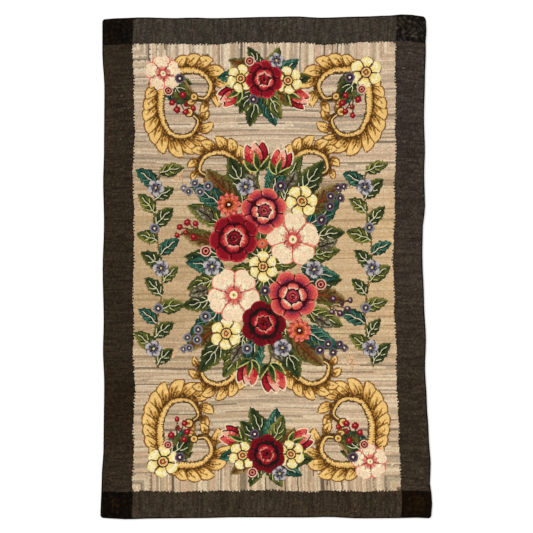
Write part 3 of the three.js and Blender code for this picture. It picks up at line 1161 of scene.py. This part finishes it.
def plan_cell(place):
    """Row and column of the plan's cell at a place."""
    column = np.clip(((place[..., 0] + WIDTH / 2) / CELL).astype(int), 0, int(WIDTH / CELL) - 1)
    row = np.clip(((place[..., 1] + LENGTH / 2) / CELL).astype(int), 0, int(LENGTH / CELL) - 1)
    return row, column


def paint(plan, part, number):
    """Marks the cells under a patch, by points on it that lie closer together than the cells.

    A point is spine + share * (reach + PAINT_MARGIN) * normal, for shares from -1 to 1.
    """
    count = int(run_of(part.spine)[-1] / PAINT_GAP) + 2
    at = np.linspace(0, len(part.spine) - 1, count)
    index = np.arange(len(part.spine))
    spine, normal = (read_line(line, index, at) for line in (part.spine, normals(part.spine)))
    reach = np.interp(at, index, part.reach)
    reach = np.where(reach > PAINT_LEAST, reach + PAINT_MARGIN, 0)
    share = np.linspace(-1, 1, int(2 * reach.max() / PAINT_GAP) + 2)
    places = spine[:, None] + (reach[:, None] * share)[..., None] * normal[:, None]
    plan[plan_cell(places)] = number


def rows_in(part):
    """Loops in rows that follow a patch's outline inwards and meet in its middle.

    Row k lies at reach - (k + 1/2) rows from the spine, on both sides of it. Where that lies between
    the two SINGLE shares of a row, one row on the spine takes the place of the two. The first row is
    also worked so where the patch is narrow, down to a reach of LEAST_REACH.
    """
    normal, index = normals(part.spine), np.arange(len(part.spine))
    columns = {"place": [], "heading": [], "along": [], "across": [], "row": [], "reach": []}
    for k in range(int(part.reach.max() / FINE_ROW + 1.0) + 1):
        offset = part.reach - (k + 0.5) * FINE_ROW
        single = (offset > SINGLE[0] * FINE_ROW) & (offset <= SINGLE[1] * FINE_ROW)
        if k == 0:
            single |= (part.reach > LEAST_REACH) & (offset <= 0)
        for side in (1, -1):
            there = (offset > SINGLE[1] * FINE_ROW) | (single if side > 0 else False)
            if not there.any():
                continue
            signed = side * np.where(single, 0, offset)
            line = part.spine + signed[:, None] * normal
            run = run_of(line)
            marks = np.arange(random.uniform(0.2, 0.8) * FINE_STEP, run[-1], FINE_STEP)
            at = np.interp(marks, run, index)
            at = at[there[np.round(at).astype(int)]]
            if not len(at):
                continue
            tangent = np.gradient(line, axis=0)
            place, slope = read_line(line, index, at), read_line(tangent, index, at)
            reach = np.maximum(np.interp(at, index, part.reach), 1e-6)
            columns["place"].append(place)
            columns["heading"].append(np.arctan2(slope[:, 1], slope[:, 0]))
            columns["along"].append(at / (len(index) - 1))
            columns["across"].append(np.interp(at, index, signed) / reach)
            columns["row"].append(np.full(len(at), k))
            columns["reach"].append(reach)
    return {name: np.concatenate(values) for name, values in columns.items()} if columns["place"] else None


def patch_wool(part, rows):
    """The wool of each loop: the patch's wools along its lean, their joins feathered loop by loop."""
    along, across = rows["along"], rows["across"]
    shares = [along, np.abs(across), (across + 1) / 2]
    total = sum(weight * share for weight, share in zip(part.lean, shares))
    tone = total / sum(part.lean) * len(part.wools)
    tone += random.uniform(-FEATHER, FEATHER, len(tone)) * (len(part.wools) > 1)
    colour = linear(part.wools)[np.clip(tone.astype(int), 0, len(part.wools) - 1)]
    for side, wool in zip((-1, 1), part.outline):
        if wool:
            colour[(rows["row"] == 0) & (across * side > EDGE_SHARE)] = linear([wool])
    return colour * np.exp(random.normal(0, TONE_SPREAD, (len(tone), 1)))


def motif_loops(parts, plan):
    """The loops of all patches by pile, without those that a later patch covers."""
    piles = {}
    for number, part in enumerate(parts, start=1):
        rows = rows_in(part)
        if rows is None:
            continue
        count = len(rows["along"])
        length, width = np.array([FINE_STEP, FINE_ROW]) * MOTIF_PLUMPNESS
        width = np.minimum(width, 2 * rows["reach"] + SPILL)
        loops = Loops(
            rows["place"], rows["heading"] + random.normal(0, MOTIF_TURN, count),
            length * np.exp(random.normal(0, SIZE_SPREAD, count)),
            width * np.exp(random.normal(0, SIZE_SPREAD, count)), patch_wool(part, rows),
        )
        piles.setdefault(part.pile, []).append(keep(loops, plan[plan_cell(loops.place)] == number))
    return {pile: join(batches) for pile, batches in piles.items()}


# ---------------------------------------------------------------- meshes


def new_piece(name, points, faces, material):
    """A smooth mesh object from points in metres and faces that all have as many corners."""
    mesh = bpy.data.meshes.new(name)
    mesh.vertices.add(len(points))
    mesh.vertices.foreach_set("co", np.ascontiguousarray(points, np.float32).ravel())
    mesh.loops.add(faces.size)
    mesh.loops.foreach_set("vertex_index", faces.astype(np.int32).ravel())
    mesh.polygons.add(len(faces))
    mesh.polygons.foreach_set("loop_start", np.arange(0, faces.size, faces.shape[1], dtype=np.int32))
    mesh.polygons.foreach_set("use_smooth", np.ones(len(faces), bool))
    mesh.update(calc_edges=True)
    mesh.materials.append(material)
    piece = bpy.data.objects.new(name, mesh)
    bpy.context.scene.collection.objects.link(piece)
    return piece


def set_map(piece, places):
    """The piece's own texture map, from one place (0 to 1) for each corner of its faces."""
    layer = piece.data.uv_layers.new(name="OFBake")
    layer.data.foreach_set("uv", np.ascontiguousarray(places, np.float32).ravel())


def set_wool(piece, colours):
    """The wool's colour at each point, as the attribute that the materials read."""
    layer = piece.data.color_attributes.new(name="wool", type="FLOAT_COLOR", domain="POINT")
    rgba = np.ones((len(colours), 4), np.float32)
    rgba[:, :3] = colours
    layer.data.foreach_set("color", rgba.ravel())


# A loop's eight points: shares of its size along the row and across it, and of its height. The
# crown is a short ridge along the row, with a shoulder on both sides and a foot at both ends.
PILLOW = np.array([
    (-0.20, 0.0, 1.0), (0.20, 0.0, 1.0),
    (-0.42, -0.5, 0.60), (0.42, -0.5, 0.60), (0.42, 0.5, 0.60), (-0.42, 0.5, 0.60),
    (-0.56, 0.0, 0.44), (0.56, 0.0, 0.44),
])
PILLOW_FACES = np.array([(2, 3, 1, 0), (4, 5, 0, 1), (6, 2, 0, 5), (7, 4, 1, 3)])


def pile_piece(name, loops, material):
    """Loops as pillows: each turned to its row's heading, and as high as the pile is there.

    point = place + turn(heading) * (a * along, b * across), height = foot + share * (crown - foot).
    """
    place = spread(drift(loops.place))
    cosine, sine = np.cos(loops.heading)[:, None], np.sin(loops.heading)[:, None]
    a, b = loops.along[:, None] * PILLOW[:, 0], loops.across[:, None] * PILLOW[:, 1]
    lean = np.clip(1 - (to_edge(loops.place) - CLOTH_INSET) / RIM_REACH, 0, 1)
    crown = PILE_TOP + swell(loops.place) - RIM_DROP * lean + random.normal(0, CROWN_STRAY, len(place))
    foot = CLOTH_TOP - LOOP_SINK
    points = np.empty((len(place), len(PILLOW), 3))
    points[..., 0] = place[:, :1] + cosine * a - sine * b
    points[..., 1] = place[:, 1:] + sine * a + cosine * b
    points[..., 2] = foot + PILLOW[:, 2] * (crown - foot)[:, None]
    points += random.normal(0, POINT_STRAY, points.shape)
    faces = (len(PILLOW) * np.arange(len(place))[:, None, None] + PILLOW_FACES).reshape(-1, 4)
    points = points.reshape(-1, 3)
    piece = new_piece(name, points * MM, faces, material)
    low, high = points[:, :2].min(0), points[:, :2].max(0)
    set_map(piece, ((points[:, :2] - low) / (high - low))[faces.ravel()])
    set_wool(piece, np.repeat(loops.wool, len(PILLOW), axis=0))
    return piece


def foundation_piece(loops, material):
    """The foundation cloth with the backs of the loops: a slab of cells, coloured as the wool over each.

    A cell's colour is the mean of the loops over it. Its upper and lower faces lie side by side on the
    texture map, and its narrow edge takes the upper one's rim.
    """
    half = np.array([WIDTH, LENGTH]) / 2 - CLOTH_INSET
    cells = np.round(2 * half / CLOTH_CELL).astype(int)
    x, y = (np.linspace(-h, h, n + 1) for h, n in zip(half, cells))
    straight = np.stack(np.meshgrid(x, y, indexing="ij"), axis=-1).reshape(-1, 2)
    flat = spread(straight)
    size = len(flat)
    points = np.empty((2 * size, 3))
    points[:size, :2] = points[size:, :2] = flat
    points[:size, 2] = CLOTH_TOP
    points[size:, 2] = 0
    grid = np.arange(size).reshape(cells + 1)
    upper = np.stack([grid[:-1, :-1], grid[1:, :-1], grid[1:, 1:], grid[:-1, 1:]], axis=-1).reshape(-1, 4)
    rim = np.concatenate([grid[:-1, 0], grid[-1, :-1], grid[:0:-1, -1], grid[0, :0:-1]])
    ahead = np.roll(rim, -1)
    wall = np.stack([rim + size, ahead + size, ahead, rim], axis=-1)
    faces = np.concatenate([upper, upper[:, ::-1] + size, wall])
    piece = new_piece("foundation_cloth", points * MM, faces, material)

    share = (straight / half + 1) / 2
    corners = share[faces.ravel() % size]
    corners[:, 0] /= 2
    below = slice(upper.size, 2 * upper.size)
    corners[below, 0] += 0.5
    set_map(piece, corners)

    cell = np.clip(np.round((loops.place / half + 1) / 2 * cells), 0, cells).astype(int)
    number = cell[:, 0] * (cells[1] + 1) + cell[:, 1]
    count = np.maximum(np.bincount(number, minlength=size), 1)[:, None]
    mean = np.stack([np.bincount(number, loops.wool[:, k], size) for k in range(3)], axis=1) / count
    set_wool(piece, np.concatenate([mean, mean]))
    return piece


WRAP_POINTS = 4  # along each wrap
SECTION_POINTS = 8  # round the cord
WRAP_DIP = 0.17  # how far the section draws in between the wraps
LANES = 24  # the texture map holds the long edge as lanes, one under the other
LANE_FILL = 0.96  # the share of a lane's height that is used
LANE_MARGIN = 0.02  # and the share that is left free under it


def whipped_piece(material):
    """The whipped edge: yarn wraps side by side, slanting round a cord that follows the uneven outline.

    Around the cord the section is (cos t, sin t) times half its width and height, drawn in between the
    wraps by k = 1 - WRAP_DIP * (1 - |sin(pi * (wrap + t / (2 pi)))|), and flat where it meets the floor.
    """
    ring_line = np.vstack([EDGE, EDGE[:1]])
    run = run_of(ring_line)
    count = WRAP_POINTS * round(run[-1] / WRAP)
    along = np.arange(count) / count * run[-1]
    outline = read_line(ring_line, run, along)
    tangent = np.roll(outline, -2, axis=0) - np.roll(outline, 2, axis=0)
    tangent /= np.linalg.norm(tangent, axis=1, keepdims=True)
    outward = np.stack([tangent[:, 1], -tangent[:, 0]], axis=1)
    t = np.linspace(0, 2 * np.pi, SECTION_POINTS, endpoint=False)
    wrap = np.arange(count)[:, None] / WRAP_POINTS
    k = 1 - WRAP_DIP * (1 - np.abs(np.sin(np.pi * (wrap + t / (2 * np.pi)))))
    k = k + random.normal(0, WRAP_STRAY, k.shape)
    out = BINDING_WIDTH / 2 * (np.cos(t) * k - 1)
    points = np.empty((count, SECTION_POINTS, 3))
    points[..., :2] = outline[:, None] + out[..., None] * outward[:, None]
    points[..., 2] = np.maximum(BINDING_HEIGHT / 2 * (1 + np.sin(t) * k), 0)
    grid = np.arange(count * SECTION_POINTS).reshape(-1, SECTION_POINTS)
    ahead, over = np.roll(grid, -1, axis=0), np.roll(grid, -1, axis=1)
    faces = np.stack([grid, over, np.roll(ahead, -1, axis=1), ahead], axis=-1).reshape(-1, 4)
    piece = new_piece("whipped_edge", points.reshape(-1, 3) * MM, faces[:, ::-1], material)

    i, j = (index.ravel() for index in np.indices((count, SECTION_POINTS)))
    lane, start = np.divmod(i * LANES, count)
    u = start[:, None] / count + np.array([0, 0, 1, 1]) * LANES / count
    v = (j[:, None] + np.array([0, 1, 1, 0])) / SECTION_POINTS * LANE_FILL + LANE_MARGIN
    v = (lane[:, None] + v) / LANES
    set_map(piece, np.stack([np.clip(u, 0, 1), v], axis=-1)[:, ::-1].reshape(-1, 2))
    return piece


# ---------------------------------------------------------------- materials


def adjust(node, **settings):
    """Settings of a node: names in capitals set its input sockets, others its properties."""
    for name, value in settings.items():
        if name[0].isupper():
            node.inputs[name.replace("_", " ")].default_value = value
        else:
            setattr(node, name, value)
    return node


def add_node(tree, kind, **settings):
    """A new node with its settings."""
    return adjust(tree.nodes.new(kind), **settings)


def wire(tree, *links):
    """Links of a tree: each gives a node and its output, then a node and its input."""
    for source, output, target, socket in links:
        tree.links.new(source.outputs[output], target.inputs[socket])


def new_material(name, **settings):
    """A material whose main shader has these settings: (material, tree, shader)."""
    material = bpy.data.materials.new(name)
    material.use_nodes = True
    shader = adjust(material.node_tree.nodes["Principled BSDF"], **settings)
    return material, material.node_tree, shader


def wool_group():
    """Wool fibre for any colour: soft mottling of the dye, and fuzz as a height for a bump.

    Inputs: Colour, Mottle (how strong), Fuzz Size (waves a metre). Outputs: Colour, Height.
    The colour is Colour * (1 + Mottle * (fuzz + dye - 1)), where fuzz and dye are noises from 0 to 1.
    """
    tree = bpy.data.node_groups.new("wool_fibre", "ShaderNodeTree")
    sockets = [
        ("Colour", "INPUT", "NodeSocketColor"), ("Mottle", "INPUT", "NodeSocketFloat"),
        ("Fuzz Size", "INPUT", "NodeSocketFloat"),
        ("Colour", "OUTPUT", "NodeSocketColor"), ("Height", "OUTPUT", "NodeSocketFloat"),
    ]
    for name, direction, kind in sockets:
        tree.interface.new_socket(name, in_out=direction, socket_type=kind)
    enter = add_node(tree, "NodeGroupInput")
    leave = add_node(tree, "NodeGroupOutput")
    place = add_node(tree, "ShaderNodeTexCoord")
    fuzz = add_node(tree, "ShaderNodeTexNoise", Detail=3.0, Roughness=0.7)
    dye = add_node(tree, "ShaderNodeTexNoise", Scale=240.0, Detail=2.0)
    mixed = add_node(tree, "ShaderNodeMath", operation="ADD")
    centred = add_node(tree, "ShaderNodeMath", operation="SUBTRACT")
    centred.inputs[1].default_value = 1.0
    scaled = add_node(tree, "ShaderNodeMath", operation="MULTIPLY_ADD")
    scaled.inputs[2].default_value = 1.0
    tinted = add_node(tree, "ShaderNodeVectorMath", operation="SCALE")
    wire(
        tree,
        (place, "Object", fuzz, "Vector"),
        (place, "Object", dye, "Vector"),
        (enter, "Fuzz Size", fuzz, "Scale"),
        (fuzz, "Fac", mixed, 0),
        (dye, "Fac", mixed, 1),
        (mixed, "Value", centred, 0),
        (centred, "Value", scaled, 0),
        (enter, "Mottle", scaled, 1),
        (enter, "Colour", tinted, "Vector"),
        (scaled, "Value", tinted, "Scale"),
        (tinted, "Vector", leave, "Colour"),
        (fuzz, "Fac", leave, "Height"),
    )
    return tree


# Each wool's finish: how far its dye mottles, the size of its fuzz in waves a metre, the fuzz's height
# in millimetres, and its sheen.
Finish = namedtuple("Finish", "mottle fuzz_size fuzz_height sheen")
FINISHES = {
    "corner_wool": Finish(0.9, 1400.0, 0.5, 0.0),
    "border_wool": Finish(0.9, 1400.0, 0.5, 0.02),
    "ground_wool": Finish(0.5, 1300.0, 0.5, 0.12),
    "motif_wool": Finish(0.45, 1600.0, 0.4, 0.06),
    "jute_and_loop_backs": Finish(0.5, 1500.0, 0.3, 0.1),
    "binding_yarn": Finish(0.8, 1800.0, 0.5, 0.0),
}


def wool_material(name, fibre, colour=None):
    """Matt wool: the colour of the loops' attribute, or one colour, through the fibre group."""
    look = FINISHES[name]
    material, tree, shader = new_material(
        name, Roughness=0.94, Specular_IOR_Level=0.08, Sheen_Weight=look.sheen, Sheen_Roughness=0.6
    )
    wool = add_node(
        tree, "ShaderNodeGroup", node_tree=fibre, Mottle=look.mottle, Fuzz_Size=look.fuzz_size
    )
    bump = add_node(tree, "ShaderNodeBump", Distance=look.fuzz_height * MM, Strength=0.8)
    if colour is None:
        dyed = add_node(tree, "ShaderNodeAttribute", attribute_name="wool")
        wire(tree, (dyed, "Color", wool, "Colour"))
    else:
        adjust(wool, Colour=(*linear([colour])[0], 1))
    wire(
        tree,
        (wool, "Colour", shader, "Base Color"),
        (wool, "Height", bump, "Height"),
        (bump, "Normal", shader, "Normal"),
    )
    return material


def cloth_material(fibre):
    """Jute with the backs of the loops: a plain weave of jute threads over the local wool colour.

    A thread shows where the product of a wave across and a wave along is high, and far less on the
    upper side, where the loops cover it.
    """
    material = wool_material("jute_and_loop_backs", fibre)
    tree = material.node_tree
    shader = tree.nodes["Principled BSDF"]
    fibres = next(node for node in tree.nodes if node.type == "GROUP")
    place = add_node(tree, "ShaderNodeTexCoord")
    weft, warp = (
        add_node(tree, "ShaderNodeTexWave", bands_direction=axis, Scale=70.0, Distortion=0.6)
        for axis in ("X", "Y")
    )
    threads = add_node(tree, "ShaderNodeMath", operation="MULTIPLY")
    facing = add_node(tree, "ShaderNodeNewGeometry")
    upwards = add_node(tree, "ShaderNodeSeparateXYZ")
    bare = add_node(tree, "ShaderNodeMapRange", From_Min=-1.0, To_Min=1.0, To_Max=0.1)
    shown = add_node(tree, "ShaderNodeMath", operation="MULTIPLY")
    blended = add_node(tree, "ShaderNodeMix", data_type="RGBA")
    blended.inputs["B"].default_value = (*linear(["jute"])[0], 1)
    wire(
        tree,
        (place, "Object", weft, "Vector"),
        (weft, "Fac", threads, 0),
        (place, "Object", warp, "Vector"),
        (warp, "Fac", threads, 1),
        (facing, "True Normal", upwards, "Vector"),
        (upwards, "Z", bare, "Value"),
        (threads, "Value", shown, 0),
        (bare, "Result", shown, 1),
        (shown, "Value", blended, "Factor"),
        (fibres, "Colour", blended, "A"),
        (blended, "Result", shader, "Base Color"),
    )
    return material


def floor_material():
    """A pale matt floor with a trace of unevenness in its gloss and a little light of its own."""
    material, tree, shader = new_material(
        "pale_floor", Base_Color=(0.93, 0.93, 0.925, 1),
        Emission_Color=(1.0, 1.0, 1.0, 1), Emission_Strength=0.18,
    )
    cloud = add_node(tree, "ShaderNodeTexNoise", Scale=3.0, Detail=2.0)
    level = add_node(tree, "ShaderNodeMapRange", To_Min=0.7, To_Max=0.8)
    wire(tree, (cloud, "Fac", level, "Value"), (level, "Result", shader, "Roughness"))
    return material


# ---------------------------------------------------------------- floor, light and camera

VIEW_WIDTH = 1620.3  # what the picture takes in, in millimetres, at the height of the pile
VIEW_MIDDLE = (0.6, 1.1)  # the place under the picture's middle, in millimetres
LENS = 50.0
SENSOR = 36.0
FLOOR_HALF = 25.0  # in metres
FLOOR_DROP = 0.0003  # how far it lies under the rug, in metres
ROOM_COLOUR = (1.0, 0.995, 0.985, 1)
ROOM_STRENGTH = 0.74
LAMP_STRENGTH = 1.28
LAMP_SPREAD = 0.6  # how wide the lamp looks from the rug, in radians
LAMP_TURN = (-0.5, -0.62, 0.0)  # about each axis, in radians


def floor():
    """A wide floor under the rug."""
    corners = FLOOR_HALF * np.array([(-1, -1, 0), (1, -1, 0), (1, 1, 0), (-1, 1, 0)])
    piece = new_piece("floor", corners - (0, 0, FLOOR_DROP), np.array([[0, 1, 2, 3]]), floor_material())
    return piece


def lights():
    """Even studio light: a bright room all round, and one large soft lamp from the upper left."""
    world = bpy.data.worlds.new("studio")
    world.use_nodes = True
    adjust(world.node_tree.nodes["Background"], Color=ROOM_COLOUR, Strength=ROOM_STRENGTH)
    bpy.context.scene.world = world
    lamp = bpy.data.lights.new("softbox", "SUN")
    lamp.energy = LAMP_STRENGTH
    lamp.angle = LAMP_SPREAD
    holder = bpy.data.objects.new("softbox", lamp)
    holder.rotation_euler = LAMP_TURN
    bpy.context.scene.collection.objects.link(holder)


def camera():
    """A camera straight above the rug, as far off as its lens needs to take in the view's width."""
    lens = bpy.data.cameras.new("camera")
    lens.lens = LENS
    lens.sensor_width = SENSOR
    holder = bpy.data.objects.new("camera", lens)
    distance = VIEW_WIDTH * LENS / SENSOR
    holder.location = (VIEW_MIDDLE[0] * MM, VIEW_MIDDLE[1] * MM, (distance + BINDING_HEIGHT) * MM)
    bpy.context.scene.collection.objects.link(holder)
    bpy.context.scene.camera = holder


# ---------------------------------------------------------------- the rug


def hook_rug():
    """All pieces of the rug: their loops, from the design and the straight rows, and the whipped edge."""
    parts = design()
    plan = np.zeros((int(LENGTH / CELL), int(WIDTH / CELL)), np.int32)
    for number, part in enumerate(parts, start=1):
        paint(plan, part, number)
    piles = motif_loops(parts, plan)

    ground = join([lying_ground(), upright_ground(-1), upright_ground(1)])
    ground = join([keep(ground, plan[plan_cell(ground.place)] == 0), piles["ground"]])
    upper = ground.place[:, 1] > 0
    border = join([side_border(-1), side_border(1), end_border(-1), end_border(1)])
    corners = join([corner_rows(side, end) for side in (-1, 1) for end in (-1, 1)])

    fibre = wool_group()
    black, dark, pale, bright = (
        wool_material(name, fibre) for name in ("corner_wool", "border_wool", "ground_wool", "motif_wool")
    )
    pieces = [
        pile_piece("border_pile", border, dark),
        pile_piece("corner_pile", corners, black),
        pile_piece("ground_pile_upper", keep(ground, upper), pale),
        pile_piece("ground_pile_lower", keep(ground, ~upper), pale),
        pile_piece("scroll_pile", piles["scrolls"], bright),
        pile_piece("leaf_pile", piles["leaves"], bright),
        pile_piece("flower_pile", piles["flowers"], bright),
    ]
    cloth = foundation_piece(join([border, corners, ground, *piles.values()]), cloth_material(fibre))
    whipping = whipped_piece(wool_material("binding_yarn", fibre, "black"))
    return cloth, pieces, whipping


scene = bpy.context.scene
scene.view_settings.view_transform = "Standard"
camera()
lights()
ground_floor = floor()
cloth, piles, whipping = hook_rug()
for piece in [cloth, *piles]:
    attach(piece, "root")
    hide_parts("hooked_cloth")
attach(whipping, "root")
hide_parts("whipped_binding")
